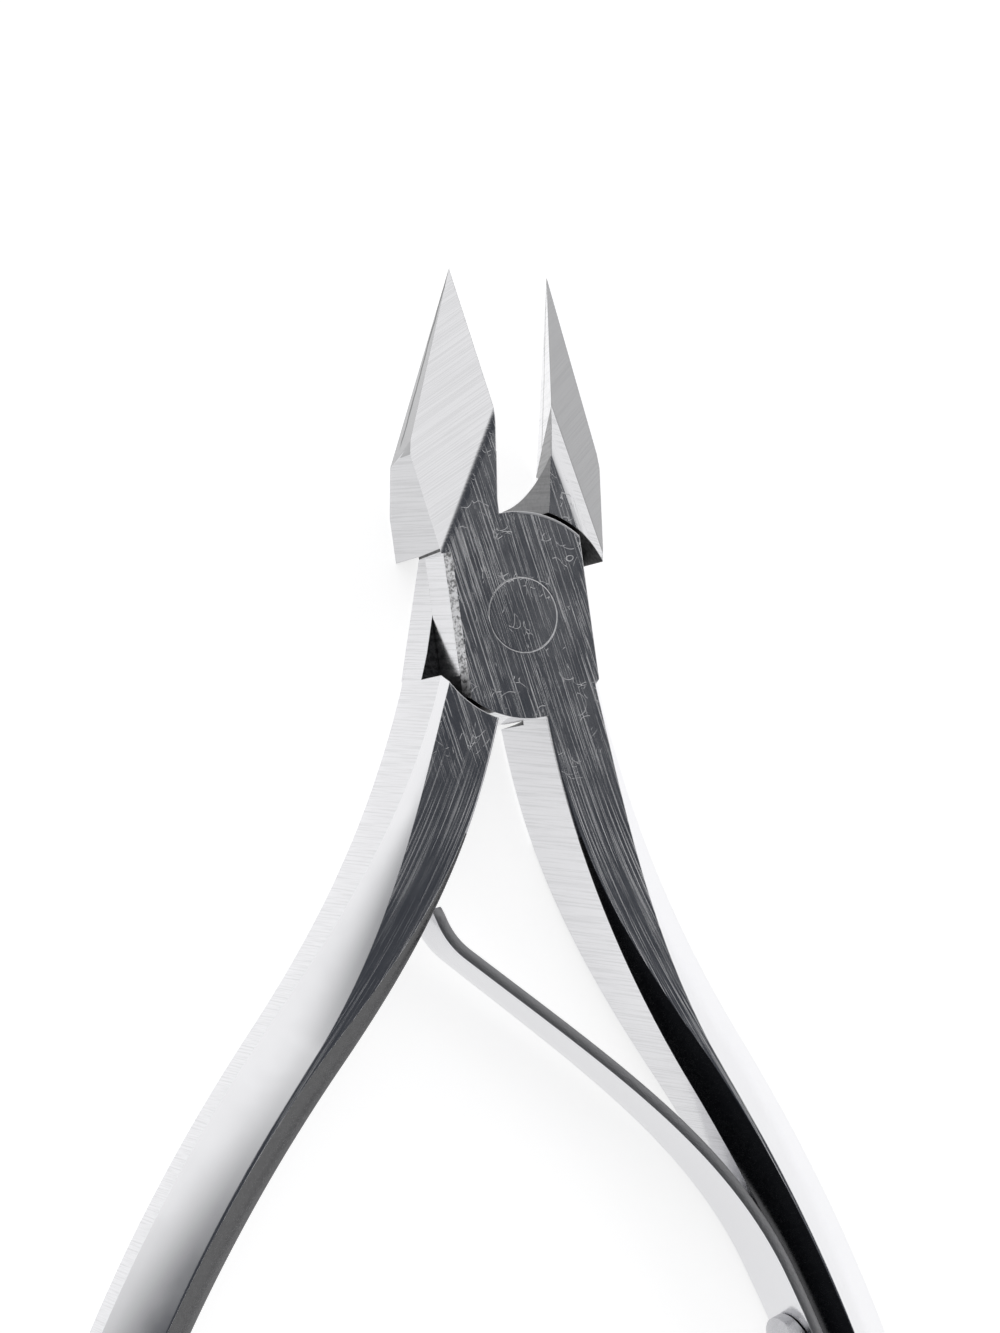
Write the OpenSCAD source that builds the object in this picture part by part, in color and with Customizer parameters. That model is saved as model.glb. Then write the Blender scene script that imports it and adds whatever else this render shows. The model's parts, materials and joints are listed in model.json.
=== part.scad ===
// Cuticle nipper: two lap-jointed forgings on a flush rivet, with a screwed leaf spring.
// It lies on its back face. The origin is on the pivot axis at that face, +Z is the pivot axis,
// up through the joint to its front face, +Y runs to the jaw tips and +X to the right.
// Each half is drawn closed and standing, with the jaws along +Z and the front face towards -Y,
// about the mid plane between its faces. It is then turned open and laid down.

/* [Joint] */
// Thickness of the two lapped plates together
joint_t = 6.8; // [6.4:0.1:7.2]
// Width of each lap plate across its side walls
plate_w = 9.2; // [9:0.1:9.4]
// Diameter of the rounded lap plates about the pivot
lap_d = 12.9; // [12.7:0.1:13.1]
// Gap between a plate's round edge and the recess it turns in
lap_gap = 0.25; // [0.2:0.05:0.35]
// Diameter of the flush rivet heads
rivet_head_d = 4.7; // [4.4:0.1:5]
// Diameter of the rivet shank
rivet_shank_d = 3.4; // [3:0.1:3.6]

/* [Jaws] */
// Height of the tips above the pivot
jaw_reach = 22.4; // [22:0.1:22.6]
// Height above the pivot where the cutting edges begin
edge_start = 12.4; // [12.2:0.1:12.6]
// Half width of the closed head at its flat sides
jaw_half_w = 5; // [4.9:0.05:5.1]
// Height above the pivot of the shoulder under each jaw
shoulder_z = 4.3; // [4.1:0.1:4.5]
// Height above the pivot where the flat sides end
flank_z = 10.8; // [10.5:0.1:11]
// Angle of the hollow relief behind each cutting edge
relief_angle = 20; // [15:1:24]
// Radius of the hollow relief
relief_r = 10; // [9.8:0.1:10.2]

/* [Handles] */
// Drop from the pivot to the ends of the handles
handle_drop = 93; // [90:1:96]
// Half spread of the closed handles
handle_spread = 24.8; // [24:0.1:26]
// Width of a handle where it leaves the joint
handle_top_w = 4.1; // [4:0.1:4.3]
// Extra width of a handle at its swell
handle_swell = 0.9; // [0.6:0.1:1]
// Thickness of a handle near its end
handle_end_t = 4.5; // [4.2:0.1:5]

/* [Opening] */
// Angle between the halves at rest, held open by the spring
open_angle = 17.4; // [17:0.1:17.8]

/* [Spring] */
// Thickness of the leaf
leaf_t = 0.75; // [0.6:0.05:0.8]
// Width of the leaf at its tip
leaf_tip_w = 3.4; // [3:0.1:3.8]
// Width of the leaf at its foot
leaf_foot_w = 5.2; // [5:0.1:5.4]

/* [Screw] */
// Diameter of the screw head
screw_head_d = 4.2; // [4:0.1:4.4]
// Diameter of the screw shank
screw_shank_d = 2; // [1.8:0.1:2.2]
// Width of the screwdriver slot
slot_w = 0.6; // [0.5:0.05:0.8]

/* [Hidden] */
$fn = 96;

half_t = joint_t / 2;
half_open = open_angle / 2;
far = 60;
plate_gap = 0.03;
running_gap = 0.03;
press_gap = 0.01;
edge_gap = 0.03;

// Rivet heads are shallow cones that fill countersinks in the outer faces.
rivet_cone_h = 0.8;

// The cutting edge of a closed left jaw, from its low front end to its tip behind the mid plane.
edge_proud = 0.1;
tip_behind = 0.3;
edge_low = [-edge_gap, -half_t - edge_proud, edge_start];
edge_high = [-edge_gap, tip_behind, jaw_reach];
edge_lean = atan2(edge_high.y - edge_low.y, edge_high.z - edge_low.z);

// Lowest point of the front facet, and two points on each of the other ground planes.
facet_foot = [-4.6, -half_t, 4.8];
outer_ridge = [-4.9, 1.2, 10.9];
outer_back = [-4.65, half_t, 10.9];
back_ridge = [-4.5, 2.2, 11.4];
back_foot = [-edge_gap, half_t, 13.6];
relief_rise = 5.2;
relief_centre = [half_t, edge_start + relief_rise];

// Outline of one closed jaw: a straight flank, then a bowed side up to the tip.
jaw_side = [[-jaw_half_w, flank_z], [-4.3, 13.7], [-2.35, 18.5], [-edge_gap, jaw_reach]];
jaw_side_steps = 14;
jaw_foot_z = 3;
throat = [[-edge_gap, edge_start], [-0.7, 7.3], [-0.8, jaw_foot_z]];
plate_overlap = 0.2;

// Outer edge of the right handle as two joined cubic curves, in x and z.
swell_at = [11.8, -27.3];
path_top = [[plate_w / 2, -3], [plate_w / 2 + 0.5, -12], swell_at + [-4, 8], swell_at];
path_low = [swell_at, swell_at + [7.4, -14.7], [handle_spread, -60],
            [handle_spread - 0.2, -handle_drop]];
path_swap = 0.5;
flat_until = 0.15;
thinning = 1.8;
nose_from = 0.982;
nose_tip = 0.004;
top_rings = 16;
low_rings = 34;
nose_rings = 7;
bevel_steps = 5;

// Outer bevel and inner chamfer of the handle: width and depth at the top and lower down, and where
// along the handle they grow. The bevel is nearly flat, and some of each side face is always left.
bevel_w = [0.45, 3];
bevel_d = [0.5, 1.9];
bevel_span = [0.05, 0.55];
bevel_bow = 0.44;
chamfer_w = [0.14, 1.75];
chamfer_d = [0.14, 1.2];
chamfer_span = [0.15, 0.6];
least_outer = 0.35;
least_inner = 0.5;

// The leaf lies on the handle from its foot to its lift-off, then crosses to its knee.
foot_end = 0.715;
lift_off = 0.645;
screw_at = 0.69;
seat_gap = 0.03;
leaf_knee = [-6.15, -20.25];
leaf_slope = 47;
foot_pull = 9;
knee_pull = 12;
leaf_hole_gap = 0.1;
tip_turn = 40;
tip_r = 5;
foot_steps = 6;
span_steps = 20;
tip_steps = 8;

// The head clears the bowed leaf under its rim.
head_clear = 0.06;
screw_rim_h = 0.8;
screw_dome_h = 0.5;
screw_slot_depth = 0.8;
screw_depth = 3.4;

// A point and a direction on a cubic curve through four control points.
function bez(p, t) = pow(1 - t, 3) * p[0] + 3 * pow(1 - t, 2) * t * p[1]
    + 3 * (1 - t) * t * t * p[2] + pow(t, 3) * p[3];
function bez_dir(p, t) = let (
    d = pow(1 - t, 2) * (p[1] - p[0]) + 2 * (1 - t) * t * (p[2] - p[1]) + t * t * (p[3] - p[2])
) d / norm(d);

// The handle's outer edge, its direction down the handle, and the way in across it.
function edge_at(t) = t < path_swap
    ? bez(path_top, t / path_swap) : bez(path_low, (t - path_swap) / (1 - path_swap));
function down_at(t) = t < path_swap
    ? bez_dir(path_top, t / path_swap) : bez_dir(path_low, (t - path_swap) / (1 - path_swap));
function inward_at(t) = let (d = down_at(t)) [d.y, -d.x];
function width_at(t) = handle_top_w + handle_swell * sin(180 * t);
function half_t_at(t) = half_t - press_gap
    - (half_t - handle_end_t / 2) * pow(max(0, t - flat_until) / (1 - flat_until), thinning);
function inner_at(t) = edge_at(t) + width_at(t) * inward_at(t);

// How far in and how deep the outer bevel and the inner chamfer go. Both grow down the handle.
function ease(k) = let (c = min(1, max(0, k))) c * c * (3 - 2 * c);
function mix(a, b, k) = a + (b - a) * k;
function grown(size, span, t) = mix(size[0], size[1], ease((t - span[0]) / (span[1] - span[0])));
function bevel_in(t) = grown(bevel_w, bevel_span, t);
function bevel_deep(t) = min(grown(bevel_d, bevel_span, t), half_t_at(t) - least_outer);
function chamfer_in(t) = grown(chamfer_w, chamfer_span, t);
function chamfer_deep(t) = min(grown(chamfer_d, chamfer_span, t), half_t_at(t) - least_inner);

// A quadratic curve from a to c, drawn towards b.
function bend(a, b, c, k) = (1 - k) * (1 - k) * a + 2 * (1 - k) * k * b + k * k * c;

// Half of the section, from the inner face round to the outer side, as [across, up].
function half_section(t) = let (
    w = width_at(t), h = half_t_at(t), a = bevel_in(t), b = bevel_deep(t)
) concat(
    [[w, h - chamfer_deep(t)], [w - chamfer_in(t), h]],
    [for (i = [0:bevel_steps]) bend([a, h], [a / 2, h - bevel_bow * b], [0, h - b], i / bevel_steps)]
);
function section(t) = let (s = half_section(t), n = len(s))
    concat(s, [for (i = [n - 1:-1:0]) [s[i].x, -s[i].y]]);

// The nose of the handle closes like an ellipse about the section's middle.
function nose(t) = t < nose_from
    ? 1 : sqrt(max(nose_tip, 1 - pow((t - nose_from) / (1 - nose_from), 2)));
function handle_ring(t) = let (
    p = edge_at(t), n = inward_at(t), mid = width_at(t) / 2, k = nose(t)
) [for (s = section(t)) let (u = mid + (s.x - mid) * k) [p.x + n.x * u, s.y * k, p.y + n.y * u]];
handle_stations = concat(
    [for (i = [0:top_rings - 1]) path_swap * i / top_rings],
    [for (i = [0:low_rings]) mix(path_swap, nose_from, i / low_rings)],
    [for (i = [1:nose_rings]) mix(nose_from, 1, sin(90 * i / nose_rings))]
);

// A solid through rings of points that all have the same count and turn the same way.
module loft(rings) {
    n = len(rings[0]);
    last = len(rings) - 1;
    polyhedron(
        points = [for (r = rings) each r],
        faces = concat(
            [[for (j = [0:n - 1]) j], [for (j = [n - 1:-1:0]) last * n + j]],
            [for (i = [0:last - 1], j = [0:n - 1]) let (k = (j + 1) % n)
                [i * n + j, (i + 1) * n + j, (i + 1) * n + k]],
            [for (i = [0:last - 1], j = [0:n - 1]) let (k = (j + 1) % n)
                [i * n + j, (i + 1) * n + k, i * n + k]]
        ),
        convexity = 6
    );
}

// Everything on the far side of a plane through a point, whose normal points there.
module beyond(point, normal) {
    n = normal / norm(normal);
    translate(point) rotate([0, acos(n.z), atan2(n.y, n.x)])
        translate([-far / 2, -far / 2, 0]) cube(far);
}

// A cylinder along Y between two depths.
module bar_y(r, y0, y1) {
    translate([0, y1, 0]) rotate([90, 0, 0]) cylinder(r = r, h = y1 - y0);
}

// The rivet's outline turned about the pivot, grown all round by a clearance.
module rivet_solid(gap, over) {
    shank_r = rivet_shank_d / 2 + gap;
    head_r = rivet_head_d / 2 + gap;
    bar_y(shank_r, -half_t - over, half_t + over);
    for (side = [-1, 1]) mirror([0, side > 0 ? 0 : 1, 0]) {
        translate([0, half_t, 0]) rotate([90, 0, 0])
            cylinder(r1 = head_r, r2 = shank_r, h = rivet_cone_h);
        if (over > 0) bar_y(head_r, half_t, half_t + over);
    }
}

// One plate of the lap: a disc about the pivot with two flat side walls.
module lap_plate(side) {
    y0 = side < 0 ? -half_t : plate_gap;
    y1 = side < 0 ? -plate_gap : half_t;
    intersection() {
        bar_y(lap_d / 2, y0, y1);
        translate([-plate_w / 2, y0 - 1, -far / 2]) cube([plate_w, y1 - y0 + 2, far]);
    }
}

// Room for the other half's plate to turn in.
module lap_recess(side) {
    bar_y(lap_d / 2 + lap_gap, side < 0 ? -far : -plate_gap, side < 0 ? plate_gap : far);
}

// The left jaw, closed: a full-thickness block ground to a four-sided point.
module jaw() {
    side = [for (i = [0:jaw_side_steps]) bez(jaw_side, i / jaw_side_steps)];
    joined_x = plate_overlap - plate_w / 2;
    joined = [[joined_x, jaw_foot_z], [joined_x, shoulder_z]];
    difference() {
        rotate([90, 0, 0]) linear_extrude(joint_t, center = true)
            polygon(concat([[-jaw_half_w, shoulder_z]], side, throat, joined));
        beyond(edge_low, cross(edge_low - facet_foot, edge_high - edge_low));
        beyond(edge_high, cross(outer_back - edge_high, outer_ridge - edge_high));
        beyond(edge_high, cross(back_foot - edge_high, back_ridge - edge_high));
        intersection() {
            translate(edge_low) rotate([-edge_lean, 0, 0]) rotate([0, 0, relief_angle])
                translate([0, -far / 2, -far / 2]) cube(far);
            translate([-jaw_half_w, relief_centre[0], relief_centre[1]]) rotate([0, 90, 0])
                cylinder(r = relief_r, h = 2 * jaw_half_w);
        }
    }
}

// The bowed handle, closed, on the right.
module handle() {
    loft([for (t = handle_stations) handle_ring(t)]);
}

// Places children on the handle's inner face, with +Z pointing out of the face.
module on_inner_face(t) {
    p = inner_at(t);
    n = inward_at(t);
    translate([p.x, 0, p.y]) rotate([0, atan2(n.x, n.y), 0]) children();
}

// One forging, closed, with its jaw on the left and its handle on the right.
module forging(plate_side, pivot_gap) {
    difference() {
        union() {
            lap_plate(plate_side);
            difference() {
                union() {
                    jaw();
                    handle();
                }
                lap_recess(-plate_side);
            }
        }
        rivet_solid(pivot_gap, 1);
    }
}

// Turns a standing part open and lays it down on its back face.
module opened(angle) {
    translate([0, 0, half_t]) rotate([-90, 0, 0]) rotate([0, -angle, 0]) children();
}

module front_half() {
    color("silver") opened(half_open) difference() {
        forging(-1, press_gap);
        on_inner_face(screw_at) translate([0, 0, -screw_depth - 0.1])
            cylinder(d = screw_shank_d + 2 * press_gap, h = screw_depth + 1);
    }
}

module back_half() {
    color("gainsboro") opened(-half_open) mirror([1, 0, 0]) forging(1, running_gap);
}

module pivot_rivet() {
    color("darkgray") opened(half_open) rivet_solid(0, 0);
}

// Middle line of the leaf in x and z, from its foot to its tip.
leaf_foot_line = [for (i = [0:foot_steps]) let (t = mix(foot_end, lift_off, i / foot_steps))
    inner_at(t) + (seat_gap + leaf_t / 2) * inward_at(t)];
leaf_rise = [-sin(leaf_slope), cos(leaf_slope)];
leaf_span = [leaf_foot_line[foot_steps], leaf_foot_line[foot_steps] - foot_pull * down_at(lift_off),
             leaf_knee - knee_pull * leaf_rise, leaf_knee];
tip_centre = leaf_knee + tip_r * [leaf_rise.y, -leaf_rise.x];
leaf_line = concat(
    leaf_foot_line,
    [for (i = [1:span_steps]) bez(leaf_span, i / span_steps)],
    [for (i = [1:tip_steps]) let (q = 180 + leaf_slope - tip_turn * i / tip_steps)
        tip_centre + tip_r * [cos(q), sin(q)]]
);

// The leaf's section at one point of its line: a flat strip that narrows to the tip.
function leaf_ring(i) = let (
    n = len(leaf_line) - 1,
    d = leaf_line[min(n, i + 1)] - leaf_line[max(0, i - 1)],
    a = [-d.y, d.x] / norm(d) * leaf_t / 2,
    w = mix(leaf_foot_w, leaf_tip_w, min(1, max(0, (i - foot_steps) / span_steps))) / 2,
    p = leaf_line[i]
) [[p.x - a.x, -w, p.y - a.y], [p.x - a.x, w, p.y - a.y],
   [p.x + a.x, w, p.y + a.y], [p.x + a.x, -w, p.y + a.y]];

module leaf_spring() {
    color("dimgray") opened(half_open) difference() {
        loft([for (i = [0:len(leaf_line) - 1]) leaf_ring(i)]);
        on_inner_face(screw_at)
            cylinder(d = screw_shank_d + 2 * leaf_hole_gap, h = 4 * leaf_t, center = true);
    }
}

// Slotted screw: plain shank, straight rim and domed top.
module spring_screw() {
    seat = seat_gap * 2 + leaf_t + head_clear;
    dome_r = (pow(screw_head_d / 2, 2) + pow(screw_dome_h, 2)) / (2 * screw_dome_h);
    color("gray") opened(half_open) on_inner_face(screw_at) difference() {
        union() {
            translate([0, 0, -screw_depth]) cylinder(d = screw_shank_d, h = screw_depth + seat + 0.1);
            translate([0, 0, seat]) cylinder(d = screw_head_d, h = screw_rim_h);
            intersection() {
                translate([0, 0, seat + screw_rim_h + screw_dome_h - dome_r]) sphere(dome_r);
                translate([0, 0, seat + screw_rim_h / 2])
                    cylinder(d = screw_head_d, h = screw_rim_h + screw_dome_h);
            }
        }
        translate([-slot_w / 2, -screw_head_d, seat + screw_rim_h + screw_dome_h - screw_slot_depth])
            cube([slot_w, 2 * screw_head_d, 2]);
    }
}

front_half();
back_half();
pivot_rivet();
leaf_spring();
spring_screw();
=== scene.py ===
"""Looks of the cuticle nipper: smooth ground forgings, rivet, leaf spring and screw around the CAD frame.

Shapes are drawn closed and standing, in millimetres about the mid plane of the joint: z runs to the jaw
tips, the front face is towards -y, and a half's jaw is on the left and its handle on the right. They are
then mirrored, turned open, laid on the back face and scaled to metres.
"""
import json
import math

import bmesh
import bpy
import numpy as np
from mathutils import Matrix, Vector, noise


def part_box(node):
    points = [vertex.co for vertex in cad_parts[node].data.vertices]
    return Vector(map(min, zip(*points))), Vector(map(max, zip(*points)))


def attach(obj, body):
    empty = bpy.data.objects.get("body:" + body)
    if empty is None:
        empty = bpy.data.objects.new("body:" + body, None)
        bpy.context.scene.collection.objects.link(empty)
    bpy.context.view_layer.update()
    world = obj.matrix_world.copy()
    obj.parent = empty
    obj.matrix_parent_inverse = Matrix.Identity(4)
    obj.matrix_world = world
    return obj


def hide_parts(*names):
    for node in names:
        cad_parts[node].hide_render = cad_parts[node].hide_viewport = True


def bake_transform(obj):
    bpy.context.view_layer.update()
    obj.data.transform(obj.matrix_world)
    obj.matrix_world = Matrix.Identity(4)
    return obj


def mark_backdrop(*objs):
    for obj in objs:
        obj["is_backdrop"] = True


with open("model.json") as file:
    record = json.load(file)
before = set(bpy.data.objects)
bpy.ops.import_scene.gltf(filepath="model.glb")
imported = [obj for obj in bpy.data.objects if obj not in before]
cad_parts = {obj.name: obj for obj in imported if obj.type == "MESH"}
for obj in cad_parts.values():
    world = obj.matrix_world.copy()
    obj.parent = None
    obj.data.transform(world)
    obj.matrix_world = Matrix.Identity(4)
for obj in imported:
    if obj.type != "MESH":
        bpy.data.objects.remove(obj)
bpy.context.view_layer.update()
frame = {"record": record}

MM = 0.001
BEHAVIOUR = frame["record"]["behaviour"]
PIVOT = next(j for j in BEHAVIOUR["joints"] if j["name"] == "jaw_pivot")
RIVET_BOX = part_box("pivot_rivet")

# Sizes in millimetres, except MID_Z, which is in the frame's metres. Thickness, rivet radius and opening
# come from the frame. The rest repeats the CAD part, with HANDLE_SPREAD a hair less to stay inside it.
HALF_T = (RIVET_BOX[1].z - RIVET_BOX[0].z) / 2 / MM
MID_Z = (RIVET_BOX[1].z + RIVET_BOX[0].z) / 2
RIVET_R = (RIVET_BOX[1].x - RIVET_BOX[0].x) / 2 / MM
HALF_OPEN = math.radians(PIVOT["range_deg"][1]) / 2
PLATE_HALF_W = 4.6
LAP_R = 6.45
LAP_GAP = 0.25
PLATE_GAP = 0.03
EDGE_GAP = 0.03
RIVET_GAP = 0.02
RIVET_SHANK_R = 1.7
RIVET_CONE_H = 0.8
# How far each plate is drawn short before it is brought level with the jaw and handle.
SKIN = 0.004
# Rough chamfer on a plate's free side wall: width and depth.
BURR_W, BURR_D = 0.30, 0.62
JAW_REACH = 22.4
EDGE_START = 12.4
JAW_HALF_W = 5.0
SHOULDER_Z = 4.3
FLANK_Z = 10.8
RELIEF_ANGLE = math.radians(20)
RELIEF_R = 10.0
RELIEF_RISE = 5.2
PLATE_INSET = 0.35
JAW_FOOT_Z = 3
HANDLE_DROP = 93.0
HANDLE_SPREAD = 24.79
HANDLE_TOP_W = 4.1
HANDLE_SWELL = 0.9
HANDLE_END_T = 4.5
LEAF_T = 0.75
LEAF_TIP_W = 3.4
LEAF_FOOT_W = 5.2
SCREW_R = 2.1
SCREW_SHANK_R = 1.0
SCREW_DEPTH = 3.4
HEAD_CLEAR = 0.06
RIM_H, DOME_H, SLOT_DEPTH, SLOT_W = 0.8, 0.5, 0.8, 0.6

# Outer edge of the right handle: two joined cubic curves in x and z.
SWELL_AT = np.array([11.8, -27.3])
PATH_TOP = np.array([[PLATE_HALF_W, -3], [PLATE_HALF_W + 0.5, -12], SWELL_AT + [-4, 8], SWELL_AT])
PATH_LOW = np.array([SWELL_AT, SWELL_AT + [7.4, -14.7], [HANDLE_SPREAD, -60],
                     [HANDLE_SPREAD - 0.2, -HANDLE_DROP]])
NOSE_FROM = 0.982
FLAT_UNTIL, THINNING = 0.15, 1.8

# Outer bevel and inner chamfer: (width, depth) at the top and lower down, and where they grow.
BEVEL_TOP, BEVEL_LOW, BEVEL_FROM, BEVEL_SPAN = (0.45, 0.50), (3.0, 1.9), 0.05, 0.5
CHAMFER_TOP, CHAMFER_LOW, CHAMFER_FROM, CHAMFER_SPAN = (0.14, 0.14), (1.75, 1.2), 0.15, 0.45
LEAST_OUTER, LEAST_INNER = 0.35, 0.5

# Where along the handle the leaf's foot ends, where the leaf lifts off and where its screw sits.
FOOT_END, LIFT_OFF, SCREW_AT = 0.715, 0.645, 0.69
SEAT_GAP = 0.03
LEAF_KNEE = np.array([-6.15, -20.25])
LEAF_SLOPE = math.radians(47)
TIP_TURN = math.radians(40)
TIP_R = 5.0


# ---------------------------------------------------------------- curves

def bez(p, t):
    return ((1 - t) ** 3 * p[0] + 3 * (1 - t) ** 2 * t * p[1]
            + 3 * (1 - t) * t * t * p[2] + t ** 3 * p[3])


def bez_dir(p, t):
    d = (1 - t) ** 2 * (p[1] - p[0]) + 2 * (1 - t) * t * (p[2] - p[1]) + t * t * (p[3] - p[2])
    return d / np.linalg.norm(d)


def edge_at(t):
    return bez(PATH_TOP, 2 * t) if t < 0.5 else bez(PATH_LOW, 2 * t - 1)


def down_at(t):
    return bez_dir(PATH_TOP, 2 * t) if t < 0.5 else bez_dir(PATH_LOW, 2 * t - 1)


def inward_at(t):
    d = down_at(t)
    return np.array([d[1], -d[0]])


def width_at(t):
    return HANDLE_TOP_W + HANDLE_SWELL * math.sin(math.pi * t)


def half_t_at(t):
    past = max(0.0, t - FLAT_UNTIL) / (1 - FLAT_UNTIL)
    return HALF_T - (HALF_T - HANDLE_END_T / 2) * past ** THINNING


def inner_at(t):
    return edge_at(t) + width_at(t) * inward_at(t)


def smooth_step(k):
    k = min(1.0, max(0.0, k))
    return k * k * (3 - 2 * k)


def mix(a, b, k):
    return a + (b - a) * k


# ---------------------------------------------------------------- mesh helpers

def new_object(name, bm):
    bmesh.ops.recalc_face_normals(bm, faces=bm.faces)
    mesh = bpy.data.meshes.new(name)
    bm.to_mesh(mesh)
    bm.free()
    obj = bpy.data.objects.new(name, mesh)
    bpy.context.scene.collection.objects.link(obj)
    return obj


def loft(rings):
    """A closed skin over rings of points that all have the same count."""
    bm = bmesh.new()
    rows = [[bm.verts.new(p) for p in ring] for ring in rings]
    n = len(rows[0])
    for a, b in zip(rows, rows[1:]):
        for j in range(n):
            k = (j + 1) % n
            bm.faces.new((a[j], a[k], b[k], b[j]))
    bm.faces.new(rows[0])
    bm.faces.new(rows[-1][::-1])
    return bm


def prism(outline, y0, y1):
    """An outline in x and z, drawn out along y."""
    return loft([[(x, y, z) for x, z in outline] for y in (y0, y1)])


def lathe_y(profile, steps=128):
    """A profile of (radius, y) pairs turned about the pivot axis, closed at both ends."""
    rings = []
    for r, y in profile:
        turn = [2 * math.pi * i / steps for i in range(steps)]
        rings.append([(r * math.cos(a), y, r * math.sin(a)) for a in turn])
    return loft(rings)


def slice_off(bm, point, normal):
    """Cuts away what lies on the normal's side of a plane and closes the cut."""
    geom = bm.verts[:] + bm.edges[:] + bm.faces[:]
    cut = bmesh.ops.bisect_plane(bm, geom=geom, dist=1e-6, plane_co=point, plane_no=normal,
                                 clear_outer=True)
    edges = [e for e in cut["geom_cut"] if isinstance(e, bmesh.types.BMEdge)]
    bmesh.ops.contextual_create(bm, geom=edges)
    bmesh.ops.remove_doubles(bm, verts=bm.verts, dist=1e-4)
    bmesh.ops.holes_fill(bm, edges=[e for e in bm.edges if e.is_boundary])
    return bm


def combine(target, tool, operation):
    """Joins, cuts or keeps what target and tool share, and drops the tool."""
    modifier = target.modifiers.new("combine", "BOOLEAN")
    modifier.operation = operation
    modifier.solver = "EXACT"
    modifier.object = tool
    apply_modifiers(target)
    mesh = tool.data
    bpy.data.objects.remove(tool)
    bpy.data.meshes.remove(mesh)
    return target


def apply_modifiers(obj):
    graph = bpy.context.evaluated_depsgraph_get()
    graph.update()
    mesh = bpy.data.meshes.new_from_object(obj.evaluated_get(graph))
    old = obj.data
    obj.modifiers.clear()
    obj.data = mesh
    bpy.data.meshes.remove(old)


def opened(side):
    """From a closed half in millimetres to its place in the frame; side is -1 for the left jaw."""
    turn = Matrix.Rotation(side * HALF_OPEN, 4, "Y")
    flip = Matrix.Diagonal((-side, 1, 1, 1))
    lay_down = Matrix.Rotation(-math.pi / 2, 4, "X")
    return Matrix.Translation((0, 0, MID_Z)) @ lay_down @ turn @ flip @ Matrix.Scale(MM, 4)


def put(obj, matrix):
    """Moves the mesh itself, so that the object's own coordinates are the frame's."""
    obj.data.transform(matrix)
    if matrix.determinant() < 0:
        obj.data.flip_normals()


def smooth(obj, angle_deg):
    """Smooth shading with creases kept, and flat faces left flat."""
    for polygon in obj.data.polygons:
        polygon.use_smooth = True
    obj.data.set_sharp_from_angle(angle=math.radians(angle_deg))
    modifier = obj.modifiers.new("flat_faces", "WEIGHTED_NORMAL")
    modifier.keep_sharp = True
    modifier.weight = 80


# ---------------------------------------------------------------- forgings

def bend(start, corner, end, steps):
    """A quadratic curve without its start point."""
    spans = [(i / steps) for i in range(1, steps + 1)]
    return [tuple((1 - k) ** 2 * p + 2 * (1 - k) * k * q + k * k * r for p, q, r in zip(start, corner, end))
            for k in spans]


def bevel_at(t):
    """How far in and how deep the outer bevel goes."""
    grown = smooth_step((t - BEVEL_FROM) / BEVEL_SPAN)
    width, depth = (mix(top, low, grown) for top, low in zip(BEVEL_TOP, BEVEL_LOW))
    return width, min(depth, half_t_at(t) - LEAST_OUTER)


def chamfer_at(t):
    """How far in and how deep the inner chamfer goes."""
    grown = smooth_step((t - CHAMFER_FROM) / CHAMFER_SPAN)
    width, depth = (mix(top, low, grown) for top, low in zip(CHAMFER_TOP, CHAMFER_LOW))
    return width, min(depth, half_t_at(t) - LEAST_INNER)


def section(t):
    """The handle's section at t as (across, up) points, with its outer bevel and inner chamfer."""
    w, h = width_at(t), half_t_at(t)
    a, b = bevel_at(t)
    c, d = chamfer_at(t)
    half = [(w, (h - d) / 2), (w, h - d)]
    half += bend((w, h - d), (w - 0.45 * c, h - 0.38 * d), (w - c, h), 5)
    half += [(mix(w - c, a, 0.33), h), (mix(w - c, a, 0.67), h), (a, h)]
    half += bend((a, h), (0.5 * a, h - 0.44 * b), (0, h - b), 7)
    return half + [(u, -v) for u, v in reversed(half)]


def handle_rings():
    """Sections down the handle, closed to a rounded nose at its end."""
    stations = [0.5 * i / 56 for i in range(56)]
    stations += [mix(0.5, NOSE_FROM, i / 110) for i in range(111)]
    stations += [mix(NOSE_FROM, 1, math.sin(math.pi / 2 * i / 12)) for i in range(1, 13)]
    rings = []
    for t in stations:
        p, n, mid = edge_at(t), inward_at(t), width_at(t) / 2
        past = max(0.0, (t - NOSE_FROM) / (1 - NOSE_FROM))
        k = math.sqrt(max(0.0005, 1 - past * past))
        rings.append([(p[0] + n[0] * (mid + (u - mid) * k), v * k,
                       p[1] + n[1] * (mid + (u - mid) * k)) for u, v in section(t)])
    return rings


def plate_outline():
    """A disc about the pivot with two flat side walls, in x and z."""
    points = []
    reach = math.acos(PLATE_HALF_W / LAP_R)
    for start in (reach, math.pi + reach):
        span = math.pi - 2 * reach
        points += [(LAP_R * math.cos(start + span * i / 60), LAP_R * math.sin(start + span * i / 60))
                   for i in range(61)]
    return points


def plate(side):
    """One lap plate with the rough chamfer on its free side wall's outer edge."""
    near, far = side * (PLATE_GAP + SKIN), side * (HALF_T - SKIN)
    bm = prism(plate_outline(), near, far)
    normal = Vector((-BURR_D, side * BURR_W, 0)).normalized()
    slice_off(bm, (-PLATE_HALF_W, side * (HALF_T - SKIN - BURR_D), 0), normal)
    return new_object("plate", bm)


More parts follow.
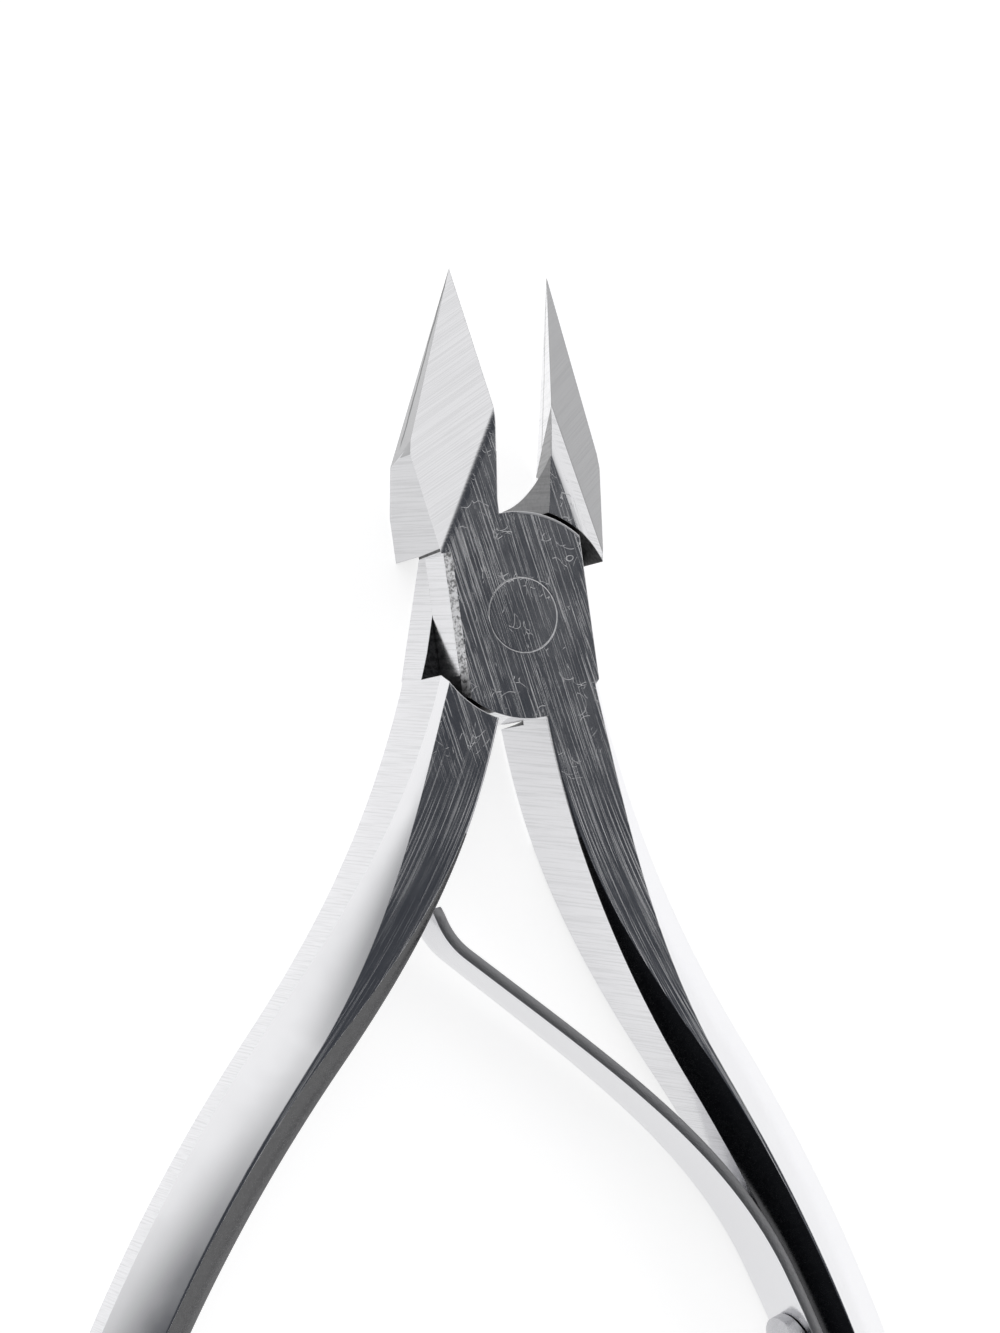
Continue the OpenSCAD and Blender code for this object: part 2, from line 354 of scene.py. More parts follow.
# The cutting edge of a closed left jaw, the front facet's foot and points on the other ground planes.
EDGE_LOW = Vector((-EDGE_GAP, -HALF_T - 0.1, EDGE_START))
EDGE_HIGH = Vector((-EDGE_GAP, 0.3, JAW_REACH))
FACET_FOOT = Vector((-4.6, -HALF_T, 4.8))
FACET_OUT = (EDGE_LOW - FACET_FOOT).cross(EDGE_HIGH - EDGE_LOW).normalized()
OUTER_RIDGE = Vector((-4.9, 1.2, 10.9))
OUTER_BACK = Vector((-4.65, HALF_T, 10.9))
BACK_RIDGE = Vector((-4.5, 2.2, 11.4))
BACK_FOOT = Vector((-EDGE_GAP, HALF_T, 13.6))
# Radius of the rolled corner under the facet, on the front half (-1) and the back half (1).
FOOT_ROLL = {-1: 1.1, 1: 3.0}


def round_facet_foot(bm, radius):
    """Rolls the corner between the facet and the front face over a cylinder of that radius."""
    front = Vector((0, -1, 0))
    axis = FACET_FOOT - radius * (FACET_OUT + front) / (1 + FACET_OUT.dot(front))
    for k in (0.15, 0.32, 0.5, 0.68, 0.85):
        way = FACET_OUT.slerp(front, k)
        slice_off(bm, axis + radius * way, way)


def jaw(side):
    """The left jaw, closed: a full-thickness block ground to a four-sided point."""
    flank = np.array([[-JAW_HALF_W, FLANK_Z], [-4.3, 13.7], [-2.35, 18.5], [-EDGE_GAP, JAW_REACH]])
    outline = [(-JAW_HALF_W, SHOULDER_Z)] + [tuple(bez(flank, i / 48)) for i in range(49)]
    inset = -PLATE_HALF_W + PLATE_INSET
    outline += [(-EDGE_GAP, EDGE_START), (-0.7, 7.3), (-0.8, JAW_FOOT_Z)]
    outline += [(inset, JAW_FOOT_Z), (inset, SHOULDER_Z)]
    bm = prism(outline, -HALF_T, HALF_T)
    slice_off(bm, EDGE_LOW, FACET_OUT)
    round_facet_foot(bm, FOOT_ROLL[side])
    slice_off(bm, EDGE_HIGH, (OUTER_BACK - EDGE_HIGH).cross(OUTER_RIDGE - EDGE_HIGH))
    slice_off(bm, EDGE_HIGH, (BACK_FOOT - EDGE_HIGH).cross(BACK_RIDGE - EDGE_HIGH))
    obj = new_object("jaw", bm)
    lean = math.atan2(EDGE_HIGH.y - EDGE_LOW.y, EDGE_HIGH.z - EDGE_LOW.z)
    turn = np.linspace(0, 2 * math.pi, 240)[:-1]
    wheel = [(RELIEF_R * math.cos(a), RELIEF_R * math.sin(a)) for a in turn]
    wheel_z = EDGE_START + RELIEF_RISE
    bm = loft([[(x, HALF_T + u, wheel_z + v) for u, v in wheel] for x in (-6, 6)])
    into = Matrix.Rotation(-lean, 3, "X") @ Matrix.Rotation(RELIEF_ANGLE, 3, "Z") @ Vector((-1, 0, 0))
    slice_off(bm, EDGE_LOW, into)
    return combine(obj, new_object("wheel", bm), "DIFFERENCE")


def rivet_profile(gap, over):
    """Two cone heads and a shank as (radius, y) pairs, grown by a gap and run on past the faces."""
    shank, head, y = RIVET_SHANK_R + gap, RIVET_R + gap, HALF_T
    return [(head, -y - over), (head, -y), (shank, -y + RIVET_CONE_H),
            (shank, y - RIVET_CONE_H), (head, y), (head, y + over)]


def forging(name, side):
    """Jaw, lap plate and handle in one piece, closed, with the plate in front where side is -1."""
    obj = combine(jaw(side), new_object("handle", loft(handle_rings())), "UNION")
    reach = [(LAP_R + LAP_GAP, y) for y in ((-PLATE_GAP, 9) if side < 0 else (-9, PLATE_GAP))]
    combine(obj, new_object("recess", lathe_y(reach, 240)), "DIFFERENCE")
    combine(obj, plate(side), "UNION")
    combine(obj, new_object("hole", lathe_y(rivet_profile(RIVET_GAP, 1))), "DIFFERENCE")
    obj.name = name
    level(obj)
    return obj


def level(obj):
    """Brings the plate, made a skin short, flush with the jaw and handle and melts the seams away."""
    bm = bmesh.new()
    bm.from_mesh(obj.data)
    for v in bm.verts:
        for flush in (HALF_T, PLATE_GAP):
            if abs(abs(v.co.y) - flush) < 1.5 * SKIN:
                v.co.y = math.copysign(flush, v.co.y)
    bmesh.ops.remove_doubles(bm, verts=bm.verts, dist=SKIN / 2)
    bmesh.ops.dissolve_degenerate(bm, edges=bm.edges, dist=SKIN / 4)
    flat = [f for f in bm.faces if abs(f.normal.y) > 0.9999]
    flat = set(flat)
    edges = [e for e in bm.edges if len(e.link_faces) == 2 and flat.issuperset(e.link_faces)]
    bmesh.ops.dissolve_edges(bm, edges=edges, use_verts=False)
    bmesh.ops.triangulate(bm, faces=[f for f in bm.faces if len(f.verts) > 4])
    bm.to_mesh(obj.data)
    bm.free()


# How far the brushing leans from front to back.
BRUSH_LEAN = 0.11
# The handle's outer edge as close points with their distance down it, for placing the brushing.
STATIONS = np.linspace(0, 1, 900)
PATH = np.array([edge_at(t) for t in STATIONS])
DOWN_PATH = np.concatenate([[0], np.cumsum(np.linalg.norm(np.diff(PATH, axis=0), axis=1))])


def along_handle(x, z):
    """(station, across, down) of a point beside the handle's outer edge."""
    gaps = PATH - (x, z)
    k = int((gaps ** 2).sum(1).argmin())
    return STATIONS[k], float(-gaps[k] @ inward_at(STATIONS[k])), DOWN_PATH[k]


def is_handle(x, z):
    return z < -3 and x > 0


def store_flow(obj):
    """Stores (across, up, along) on each vertex: straight in the head, curved down the handle."""
    flow = []
    for x, y, z in (v.co for v in obj.data.vertices):
        across, down = PLATE_HALF_W - x, -z
        if is_handle(x, z):
            station, across, down = along_handle(x, z)
            down += 3
        flow += [across, y, down + BRUSH_LEAN * y]
    obj.data.attributes.new("flow", "FLOAT_VECTOR", "POINT").data.foreach_set("vector", flow)


# Finishes and painted light of a forging's faces: brightness, brushing across, fine grinding, pitting.
# The brightness is painted light and shade on one steel: a painted highlight on the polished bevels,
# and painted shade on the back half's facet, the flanks, cheeks, throats, recess and inner chamfers.
FINISHES = {
    "brushed": (1.0, 1.0, 0.0, 0.0),
    "facet": (1.0, 0.0, 1.0, 0.0),
    "shaded_facet": (0.48, 0.0, 1.0, 0.0),
    "flank": (0.50, 0.3, 0.0, 0.0),
    "cheek": (0.84, 1.0, 0.0, 0.0),
    "throat": (0.32, 1.0, 0.0, 0.25),
    "polished": (1.13, 0.0, 0.0, 0.0),
    "dull_and_shaded": (0.16, 0.0, 0.0, 0.15),
    "rough": (0.15, 0.0, 0.0, 0.8),
    "burr": (0.85, 0.0, 0.0, 1.0),
}


def finish_of(centre, normal, side):
    """Which finish and painted light or shade a closed standing half's face has, from its middle and its
    direction.
    """
    x, y, z = centre
    tilted = 0.25 < abs(normal.y) < 0.975
    if is_handle(x, z):
        station, across, down = along_handle(x, z)
        # painted highlight: the polished outer bevel's steel is toned brighter than the rest
        if tilted and across < bevel_at(station)[0]:
            return "polished"
        # painted shade: the inner chamfer is toned dark, over a little real pitting
        if tilted and across > width_at(station) - chamfer_at(station)[0] and station > 0.2:
            return "dull_and_shaded"
    # painted shade: the back half's facet is the same ground steel, toned darker
    if normal.dot(FACET_OUT) > 0.995 and z > SHOULDER_Z:
        return "facet" if side < 0 else "shaded_facet"
    # painted shade: the recess wall and floor are toned near black, over real rough pitting
    on_recess_wall = abs(math.hypot(x, z) - LAP_R - LAP_GAP) < 0.03 and abs(normal.y) < 0.1
    on_recess_floor = abs(y) < 2 * PLATE_GAP and abs(normal.y) > 0.95
    if on_recess_wall or on_recess_floor:
        return "rough"
    # painted shade: the jaw's outer flank is toned darker than its brushed sides
    if z > FLANK_Z + 0.05 and normal.x < -0.5 and abs(normal.y) < 0.5:
        return "flank"
    # painted shade: the outer cheek is toned a little darker than the brushed sides
    if normal.x < -0.9 and SHOULDER_Z < z < FLANK_Z + 0.05:
        return "cheek"
    # painted shade: the throat between the jaws is toned dark, over a little real pitting
    if normal.x > 0.5 and x > -1.4 and LAP_R < z < EDGE_START:
        return "throat"
    return "burr" if x < PLATE_INSET - PLATE_HALF_W and abs(z) < LAP_R and tilted else "brushed"


def store_finishes(obj, side):
    """Stores each face's finish and painted light or shade as the attributes that forged_steel reads."""
    rows = [FINISHES[finish_of(p.center, p.normal, side)] for p in obj.data.polygons]
    look, pits = np.array(rows, np.float32)[:, :3], np.array(rows, np.float32)[:, 3]
    obj.data.attributes.new("look", "FLOAT_VECTOR", "FACE").data.foreach_set("vector", look.ravel())
    obj.data.attributes.new("pits", "FLOAT", "FACE").data.foreach_set("value", pits)


# ---------------------------------------------------------------- leaf, screw and rivet

# Points along the leaf's foot, span and curled tip, and how long its span holds each end's direction.
FOOT_STEPS, SPAN_STEPS, TIP_STEPS = 20, 110, 24
FOOT_PULL, KNEE_PULL = 9, 12


def leaf_line():
    """The leaf's middle line in x and z, each point with its share of the way from lift-off to knee."""
    line = []
    for i in range(FOOT_STEPS):
        t = mix(FOOT_END, LIFT_OFF, i / FOOT_STEPS)
        line.append((inner_at(t) + (SEAT_GAP + LEAF_T / 2) * inward_at(t), 0.0))
    lift = inner_at(LIFT_OFF) + (SEAT_GAP + LEAF_T / 2) * inward_at(LIFT_OFF)
    rise = np.array([-math.sin(LEAF_SLOPE), math.cos(LEAF_SLOPE)])
    span = [lift, lift - FOOT_PULL * down_at(LIFT_OFF), LEAF_KNEE - KNEE_PULL * rise, LEAF_KNEE]
    line += [(bez(span, i / SPAN_STEPS), i / SPAN_STEPS) for i in range(SPAN_STEPS + 1)]
    centre = LEAF_KNEE + TIP_R * np.array([rise[1], -rise[0]])
    for i in range(1, TIP_STEPS + 1):
        q = math.pi + LEAF_SLOPE - TIP_TURN * i / TIP_STEPS
        line.append((centre + TIP_R * np.array([math.cos(q), math.sin(q)]), 1.0))
    return line


def leaf_mesh():
    """A strip with rounded corners, sheared sides that wander a little and a rounded end at each tip."""
    line = leaf_line()
    last = len(line) - 1
    rings = []
    for i, (p, share) in enumerate(line):
        d = line[min(last, i + 1)][0] - line[max(0, i - 1)][0]
        across = np.array([-d[1], d[0]]) / np.linalg.norm(d)
        half_w = mix(LEAF_FOOT_W, LEAF_TIP_W, share) / 2
        ends = min(1.0, (min(i, last - i) + 0.6) / 7)
        half_w -= 0.5 * (1 - math.sqrt(1 - (1 - ends) ** 2))
        flat, up = LEAF_T / 2, 0.12
        half = [(0.0, flat), (half_w * 0.5, flat), (half_w - 0.2, flat), (half_w - 0.07, flat - 0.03),
                (half_w, flat - up), (half_w, 0.0)]
        ring = half + [(y, -u) for y, u in reversed(half[:-1])]
        ring += [(-y, u) for y, u in reversed(ring[1:-1])]
        points = []
        for y, u in ring:
            if abs(y) > half_w - 0.05:
                wander = noise.noise(Vector((i * 0.45, u * 5, math.copysign(7, y))))
                y -= math.copysign(0.045 * abs(wander), y)
            points.append((p[0] + across[0] * u, y, p[1] + across[1] * u))
        rings.append(points)
    return loft(rings)


def on_inner_face(t):
    """A matrix that puts +z out of the handle's inner face at t."""
    p, n = inner_at(t), inward_at(t)
    return Matrix.Translation((p[0], 0, p[1])) @ Matrix.Rotation(math.atan2(n[0], n[1]), 4, "Y")


def screw_mesh():
    """A slotted screw along z: shank, rim with worn edges, dome and slot."""
    seat = 2 * SEAT_GAP + LEAF_T + HEAD_CLEAR
    profile = [(SCREW_SHANK_R, -SCREW_DEPTH), (SCREW_SHANK_R, seat), (SCREW_R - 0.08, seat),
               (SCREW_R, seat + 0.08), (SCREW_R, seat + RIM_H - 0.06), (SCREW_R - 0.05, seat + RIM_H)]
    ball = (SCREW_R ** 2 + DOME_H ** 2) / (2 * DOME_H)
    reach = math.asin((SCREW_R - 0.05) / ball)
    for i in range(1, 13):
        a = reach * (1 - i / 12.5)
        profile.append((ball * math.sin(a), seat + RIM_H + DOME_H - ball + ball * math.cos(a)))
    bm = lathe_y(profile, 96)
    bmesh.ops.rotate(bm, verts=bm.verts, matrix=Matrix.Rotation(math.pi / 2, 3, "X"))
    obj = new_object("spring_screw_look", bm)
    top = seat + RIM_H + DOME_H
    half = SLOT_W / 2
    ease = 0.09
    outline = [(-half, top - SLOT_DEPTH), (half, top - SLOT_DEPTH), (half, top - 0.16),
               (half + ease, top + 0.1), (-half - ease, top + 0.1), (-half, top - 0.16)]
    return combine(obj, new_object("slot", prism(outline, -3, 3)), "DIFFERENCE")


def rivet_mesh():
    """The rivet's two cone heads and shank, its rims a hair below the plates and its ends barely domed."""
    profile = []
    for r, y in rivet_profile(0, 0)[1:-1]:
        if abs(r - RIVET_R) < 1e-6:
            way = math.copysign(1, y)
            rim = [(RIVET_R - 0.04, y - way * 0.05), (RIVET_R - 0.02, y - way * 0.02), (RIVET_R - 0.06, y)]
            face = [(RIVET_R - 0.08, y), (RIVET_R - 0.11, y)] + [(RIVET_R * k, y) for k in (0.7, 0.4, 0.1)]
            profile += rim + face if way > 0 else face[::-1] + rim[::-1]
        else:
            profile.append((r, y))
    return new_object("pivot_rivet_look", lathe_y(profile))


# ---------------------------------------------------------------- finishes

class Finish:
    """A material being built: short calls that add a node and return its result."""

    def __init__(self, name):
        self.material = bpy.data.materials.new(name)
        self.material.use_nodes = True
        self.tree = self.material.node_tree
        self.shader = self.tree.nodes["Principled BSDF"]

    def add(self, kind, inputs=(), out=0, **settings):
        made = self.tree.nodes.new(kind)
        for key, value in settings.items():
            setattr(made, key, value)
        for key, value in dict(inputs).items():
            if isinstance(value, bpy.types.NodeSocket):
                self.tree.links.new(value, made.inputs[key])
            else:
                made.inputs[key].default_value = value
        return made.outputs[out]

    def maths(self, operation, *values):
        return self.add("ShaderNodeMath", dict(enumerate(values)), operation=operation)

    def part(self, vector, axis):
        return self.add("ShaderNodeSeparateXYZ", {0: vector}, axis)

    def between(self, value, low, high, to_low=0.0, to_high=1.0):
        """Smooth step from low to high."""
        return self.add("ShaderNodeMapRange", {"Value": value, "From Min": low, "From Max": high,
                                               "To Min": to_low, "To Max": to_high},
                        interpolation_type="SMOOTHSTEP")

    def mixed(self, share, a, b):
        return self.add("ShaderNodeMix", {0: share, 2: a, 3: b}, data_type="FLOAT")

    def tinted(self, share, a, b):
        return self.add("ShaderNodeMix", {0: share, 6: a, 7: b}, 2, data_type="RGBA")

    def millimetres(self):
        place = self.tree.nodes.new("ShaderNodeTexCoord").outputs["Object"]
        return self.add("ShaderNodeVectorMath", {0: place, "Scale": 1 / MM}, operation="SCALE")

    def facing(self):
        return self.tree.nodes.new("ShaderNodeTexCoord").outputs["Normal"]

    def stored(self, name, out="Fac"):
        made = self.tree.nodes.new("ShaderNodeAttribute")
        made.attribute_name = name
        return made.outputs[out]

    def stretched(self, vector, scale, turn=(0, 0, 0)):
        """Turned first and then scaled along each turned axis."""
        inverse = tuple(1 / k for k in scale)
        return self.add("ShaderNodeMapping", {"Vector": vector, "Scale": inverse, "Rotation": turn},
                        vector_type="TEXTURE")

    def grain(self, vector, scale=1.0, detail=3.0, rough=0.6):
        return self.add("ShaderNodeTexNoise", {"Vector": vector, "Scale": scale, "Detail": detail,
                                               "Roughness": rough})

    def lines(self, vector, scale, turn=(0, 0, 0), low=0.52, high=0.66):
        """Thin raised lines: noise stretched by scale along each turned axis."""
        return self.between(self.grain(self.stretched(vector, scale, turn)), low, high)

    def surface(self, colour, rough, height, depth_mm, edge_mm=0.0):
        """Links colour, roughness and relief to the shader."""
        shader = self.shader.inputs
        for key, value in (("Base Color", colour), ("Roughness", rough)):
            if isinstance(value, bpy.types.NodeSocket):
                self.tree.links.new(value, shader[key])
            else:
                shader[key].default_value = value
        relief = {"Height": height, "Distance": depth_mm * MM, "Strength": 1.0}
        if edge_mm:
            relief["Normal"] = self.add("ShaderNodeBevel", {"Radius": edge_mm * MM}, samples=6)
        self.tree.links.new(self.add("ShaderNodeBump", relief), shader["Normal"])
        shader["Metallic"].default_value = 1.0
        return self.material


STEEL = (0.76, 0.76, 0.775, 1)
SHEARED_STEEL = (0.34, 0.34, 0.35, 1)
SCREW_STEEL = (0.52, 0.52, 0.54, 1)
HEAD_LEAN = math.radians(20)
FACET_LEAN = math.radians(38)


def fine_scratches(f, place):
    """Sparse curved scratches from handling, as thin bent lines broken into lengths."""
    warp = f.add("ShaderNodeTexNoise", {"Vector": place, "Scale": 0.35, "Detail": 1.0}, "Color")
    warp = f.add("ShaderNodeVectorMath", {0: warp, "Scale": 9.0}, operation="SCALE")
    bent = f.add("ShaderNodeMix", {0: 0.75, 4: place, 5: warp}, 1, data_type="VECTOR")
    cell = f.add("ShaderNodeTexVoronoi", {"Vector": bent, "Scale": 0.9}, feature="DISTANCE_TO_EDGE")
    thin = f.between(cell, 0.004, 0.016, 1.0, 0.0)
    broken = f.between(f.grain(place, 0.7, 2.0), 0.55, 0.62, 0.0, 0.8)
    return f.maths("MULTIPLY", thin, broken)


def diagonal(f, place):
    """Long straight grinding scratches, leaning as they run down the head, in three widths."""
    lean = (0, 0, HEAD_LEAN)
    grain = f.lines(place, (9.0, 0.25, 1.0), lean, 0.40, 0.62)
    fine = f.lines(place, (15.0, 0.14, 1.0), lean, 0.575, 0.65)
    wide = f.lines(place, (6.5, 0.07, 1.0), lean, 0.605, 0.645)
    sharp = f.maths("MAXIMUM", f.maths("MULTIPLY", fine, 0.45), f.maths("MULTIPLY", wide, 0.75))
    patches = f.grain(f.stretched(place, (0.5, 0.2, 1.0), lean), 1.0, 2.0)
    crowded = f.between(patches, 0.40, 0.62, 0.45, 1.0)
    return f.maths("MAXIMUM", f.maths("MULTIPLY", sharp, crowded), f.maths("MULTIPLY", grain, 0.06))


def worn_rim(f, place):
    """The front plate's free top edge, rubbed bright."""
    away = f.add("ShaderNodeVectorMath", {0: place, 1: (1, 1, 0)}, operation="MULTIPLY")
    away = f.add("ShaderNodeVectorMath", {0: away}, "Value", operation="LENGTH")
    rim = f.between(away, LAP_R - 0.24, LAP_R - 0.06)
    for axis, low, high in ((0, -0.9, 0.1), (1, 3.0, 3.6), (2, 5.0, 6.0)):
        rim = f.maths("MULTIPLY", rim, f.between(f.part(place, axis), low, high))
    return f.maths("MULTIPLY", rim, f.between(away, LAP_R + 0.02, LAP_R + 0.1, 1.0, 0.0))


def painted_ridge_shade(f, place):
    """A dark line painted down the outer side of each jaw along its rolled ridge, from its tip to the flat
    side: painted shade for the dark that the rolled edge mirrors.
    """
    turn = opened(-1)
    tip, foot = (turn @ Vector(p) / MM for p in (EDGE_HIGH, OUTER_RIDGE))
    across = (foot - tip).cross((turn @ OUTER_BACK) / MM - tip).cross(foot - tip).normalized()
    near = f.add("ShaderNodeVectorMath", {0: place}, operation="ABSOLUTE")
    near = f.add("ShaderNodeVectorMath", {0: near, 1: (-1, 1, 1)}, operation="MULTIPLY")
    near = f.add("ShaderNodeVectorMath", {0: near, 1: tuple(tip)}, operation="SUBTRACT")
    gap = f.add("ShaderNodeVectorMath", {0: near, 1: tuple(across)}, "Value", operation="DOT_PRODUCT")
    gap = f.maths("ADD", gap, f.between(f.grain(place, 0.5, 2.0), 0.3, 0.7, -0.12, 0.12))
    line = f.between(f.maths("ABSOLUTE", gap), 0.07, 0.20, 1.0, 0.0)
    sideways = f.between(f.maths("ABSOLUTE", f.part(f.facing(), 0)), 0.75, 0.85)
    return f.maths("MULTIPLY", f.maths("MULTIPLY", line, sideways),
                   f.between(f.part(place, 1), 10.4, 11.2))


def forged_steel():
    """Ground and brushed forging: lines across the sides, diagonal on the head, along the handles."""
    f = Finish("forged_steel")
    place, flow, look = f.millimetres(), f.stored("flow", "Vector"), f.stored("look", "Vector")
    bright, brushed, ground = (f.part(look, axis) for axis in range(3))
    pitted = f.stored("pits")
    flat_on = f.between(f.maths("ABSOLUTE", f.part(f.facing(), 2)), 0.93, 0.99)
    on_handle = f.between(f.part(flow, 2), 6.5, 12.0)
    streak = f.maths("MULTIPLY", f.lines(flow, (7.0, 3.0, 0.07), low=0.46, high=0.66), 0.6)
    head = f.maths("MAXIMUM", diagonal(f, place), fine_scratches(f, place))
    head = f.maths("MAXIMUM", head, worn_rim(f, place))
    front = f.mixed(on_handle, head, streak)
    across = f.maths("MULTIPLY", f.lines(flow, (0.05, 0.12, 9.0), low=0.42, high=0.66), brushed)
    grind = f.lines(place, (0.12, 14.0, 0.12), (0, 0, FACET_LEAN), 0.40, 0.66)
    grind = f.maths("MULTIPLY", grind, ground)
    side = f.maths("ADD", f.maths("MULTIPLY", across, 0.20), f.maths("MULTIPLY", grind, 0.08))
    pits = f.grain(place, 3.6, 6.0, 0.74)
    line = f.maths("ADD", f.mixed(flat_on, side, front),
                   f.maths("MULTIPLY", f.maths("MULTIPLY", pits, pitted), 5.0))
    cloud = f.between(f.grain(place, 0.35, 3.0), 0.3, 0.7, 0.11, 0.17)
    shine = f.mixed(f.maths("MINIMUM", line, 1.0), cloud, 0.45)
    marks = f.maths("ADD", f.maths("MULTIPLY", across, 0.11), f.maths("MULTIPLY", grind, 0.08))
    marks = f.maths("MULTIPLY", marks, f.mixed(flat_on, 1.0, 0.0))
    # painted shade: the dark line along each jaw's rolled ridge, taken off the steel's tone
    marks = f.maths("ADD", marks, f.maths("MULTIPLY", painted_ridge_shade(f, place), 0.92))
    speck = f.maths("MULTIPLY", f.between(pits, 0.40, 0.56, 0.75, 0.0), pitted)
    # The tone is each face's painted light or shade, less the brushing marks, the painted ridge line and
    # the pits.
    tone = f.maths("MULTIPLY", bright, f.maths("SUBTRACT", 1.0, f.maths("ADD", marks, speck)))
    steel = f.add("ShaderNodeVectorMath", {0: STEEL[:3], "Scale": tone}, operation="SCALE")
    return f.surface(steel, shine, line, 0.006, 0.07)


def rivet_steel():
    """A rivet end ground with the plate: the same diagonal lines, a little finer."""
    f = Finish("rivet_steel")
    place = f.millimetres()
    line = f.maths("MAXIMUM", diagonal(f, place), fine_scratches(f, place))
    shine = f.mixed(line, f.between(f.grain(place, 0.4, 3.0), 0.3, 0.7, 0.12, 0.18), 0.42)
    return f.surface(STEEL, shine, line, 0.006, 0.05)


def spring_steel():
    """Polished faces with faint rolling lines, and dark sheared edges."""
    f = Finish("spring_steel")
    place = f.millimetres()
    sheared = f.between(f.maths("ABSOLUTE", f.part(f.facing(), 2)), 0.35, 0.7)
    rolled = f.lines(place, (6.0, 6.0, 0.2), (0, 0, 0), 0.4, 0.7)
    torn = f.grain(f.stretched(place, (1.0, 1.0, 2.5)), 5.0, 6.0, 0.75)
    height = f.mixed(sheared, f.maths("MULTIPLY", rolled, 0.2), f.maths("MULTIPLY", torn, 7.0))
    tone = f.tinted(sheared, STEEL, SHEARED_STEEL)
    return f.surface(tone, f.mixed(sheared, 0.2, 0.5), height, 0.006, 0.05)


def screw_steel():
    """Turned head: rings about its axis, duller than the handles."""
    f = Finish("screw_steel")
    place = f.millimetres()
    worn = f.grain(place, 2.4, 5.0, 0.65)
    rings = f.lines(place, (9.0, 0.4, 6.0), (0, 0, math.radians(30)), 0.45, 0.7)
    height = f.maths("ADD", f.maths("MULTIPLY", rings, 0.4), worn)
    return f.surface(SCREW_STEEL, f.between(worn, 0.35, 0.65, 0.24, 0.36), height, 0.005, 0.05)


def dress(obj, material):
    obj.data.materials.clear()
    obj.data.materials.append(material)


# ---------------------------------------------------------------- the nipper

def add_forging(name, body, side, material):
    obj = forging(name + "_look", side)
    store_flow(obj)
    store_finishes(obj, side)
    put(obj, opened(side))
    smooth(obj, 24)
    dress(obj, material)
    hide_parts(name)
    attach(obj, body)
    return obj


def add_leaf():
    obj = new_object("leaf_spring_look", leaf_mesh())
    put(obj, opened(-1))
    smooth(obj, 40)
    dress(obj, spring_steel())
    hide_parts("leaf_spring")
    line = leaf_line()
    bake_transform(obj)
    return obj


def add_screw():
    obj = screw_mesh()
    put(obj, opened(-1) @ on_inner_face(SCREW_AT))
    smooth(obj, 35)
    dress(obj, screw_steel())
    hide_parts("spring_screw")
    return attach(obj, "front_half")


def add_rivet():
    obj = rivet_mesh()
    put(obj, opened(-1))
    smooth(obj, 35)
    dress(obj, rivet_steel())
    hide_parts("pivot_rivet")
    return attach(obj, "front_half")


# ---------------------------------------------------------------- studio

FLOOR_R = 1.5
FLOOR_Z = -0.00005
FLOOR_GREYS = (0.44, 0.44, 0.44, 1), (0.46, 0.46, 0.46, 1)
FLOOR_GLOW = 0.80
LAMP_AT = Vector((-0.25, 0.35, 0.9))
LAMP_SIZE, LAMP_WATTS = 0.8, 2.0
# Dark panels in a white room: towards, fully dark inside and white outside (degrees), colour.
PANELS = (((-0.17, -0.38, 0.91), 46, 63, (0.050, 0.054, 0.064, 1)),
          ((-0.60, -0.66, 0.45), 14, 34, (0.006, 0.007, 0.010, 1)))


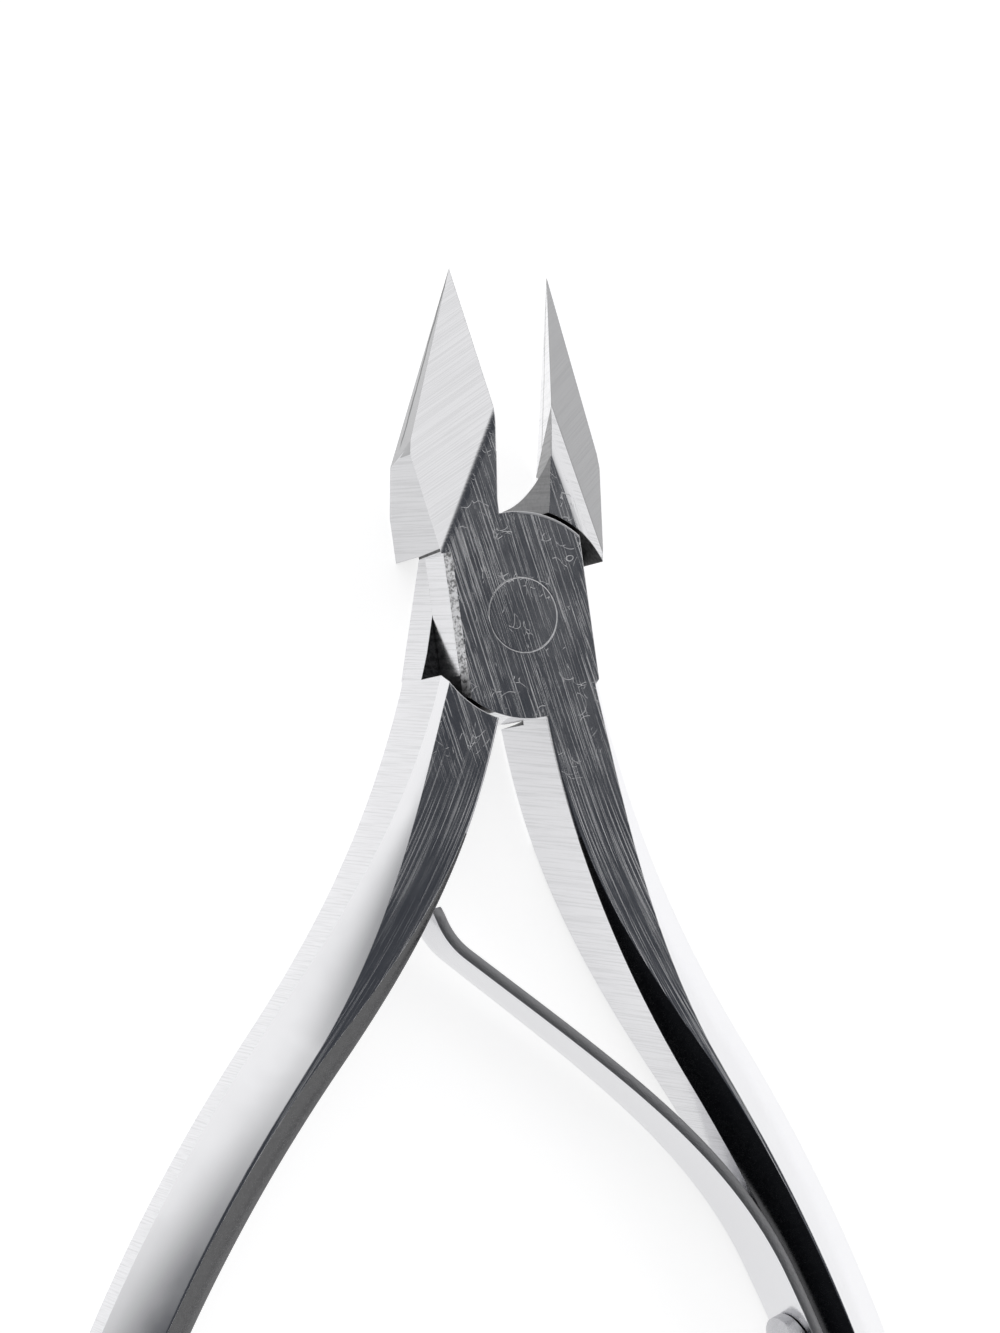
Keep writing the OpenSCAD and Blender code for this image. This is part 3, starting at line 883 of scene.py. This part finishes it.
def sky():
    """An even white room with soft dark panels, for polished steel to mirror."""
    world = bpy.data.worlds.new("studio")
    bpy.context.scene.world = world
    world.use_nodes = True
    tree = world.node_tree
    towards = tree.nodes.new("ShaderNodeTexCoord").outputs["Generated"]
    colour = None
    for way, full, clear, dark in PANELS:
        dot = tree.nodes.new("ShaderNodeVectorMath")
        dot.operation = "DOT_PRODUCT"
        dot.inputs[1].default_value = Vector(way).normalized()
        tree.links.new(towards, dot.inputs[0])
        fade = tree.nodes.new("ShaderNodeMapRange")
        fade.interpolation_type = "SMOOTHSTEP"
        fade.inputs["From Min"].default_value = math.cos(math.radians(clear))
        fade.inputs["From Max"].default_value = math.cos(math.radians(full))
        tree.links.new(dot.outputs["Value"], fade.inputs["Value"])
        blend = tree.nodes.new("ShaderNodeMix")
        blend.data_type = "RGBA"
        blend.inputs[6].default_value = (1, 1, 1, 1)
        blend.inputs[7].default_value = dark
        tree.links.new(fade.outputs[0], blend.inputs[0])
        if colour:
            tree.links.new(colour, blend.inputs[6])
        colour = blend.outputs[2]
    background = tree.nodes["Background"]
    tree.links.new(colour, background.inputs["Color"])
    background.inputs["Strength"].default_value = 1.0


def add_floor():
    bm = bmesh.new()
    bmesh.ops.create_circle(bm, cap_ends=True, segments=96, radius=FLOOR_R)
    obj = new_object("floor", bm)
    if obj.data.polygons[0].normal.z < 0:
        obj.data.flip_normals()
    f = Finish("floor_paper")
    grain = f.grain(f.millimetres(), 0.05, 3.0)
    f.surface(f.tinted(grain, *FLOOR_GREYS), 0.9, grain, 0.01)
    f.shader.inputs["Metallic"].default_value = 0.0
    f.shader.inputs["Emission Color"].default_value = (1, 1, 1, 1)
    f.shader.inputs["Emission Strength"].default_value = FLOOR_GLOW
    dress(obj, f.material)
    obj.location.z = FLOOR_Z
    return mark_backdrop(obj)


def add_lamp():
    data = bpy.data.lights.new("soft_box", "AREA")
    data.size, data.energy = LAMP_SIZE, LAMP_WATTS
    lamp = bpy.data.objects.new("soft_box", data)
    lamp.location = LAMP_AT
    lamp.rotation_euler = (-LAMP_AT).to_track_quat("-Z", "Y").to_euler()
    lamp.visible_glossy = False
    bpy.context.scene.collection.objects.link(lamp)


CAMERA_AT = Vector((-118.8, -33.15, 251.4)) * MM
AIMED_AT = Vector((0, -2.9, 3.4)) * MM
LENS = 119.6


def add_camera():
    data = bpy.data.cameras.new("camera")
    data.lens, data.sensor_width, data.clip_start = LENS, 36, 0.01
    obj = bpy.data.objects.new("camera", data)
    bpy.context.scene.collection.objects.link(obj)
    ahead = (AIMED_AT - CAMERA_AT).normalized()
    right = ahead.cross(Vector((0, 1, 0))).normalized()
    turn = Matrix((right, right.cross(ahead), -ahead)).transposed().to_4x4()
    obj.matrix_world = Matrix.Translation(CAMERA_AT) @ turn
    bpy.context.scene.camera = obj


forged = forged_steel()
add_forging("front_half", "front_half", -1, forged)
add_forging("back_half", "back_half", 1, forged)
add_rivet()
add_leaf()
add_screw()
sky()
add_floor()
add_lamp()
add_camera()
bpy.context.scene.view_settings.view_transform = "Standard"
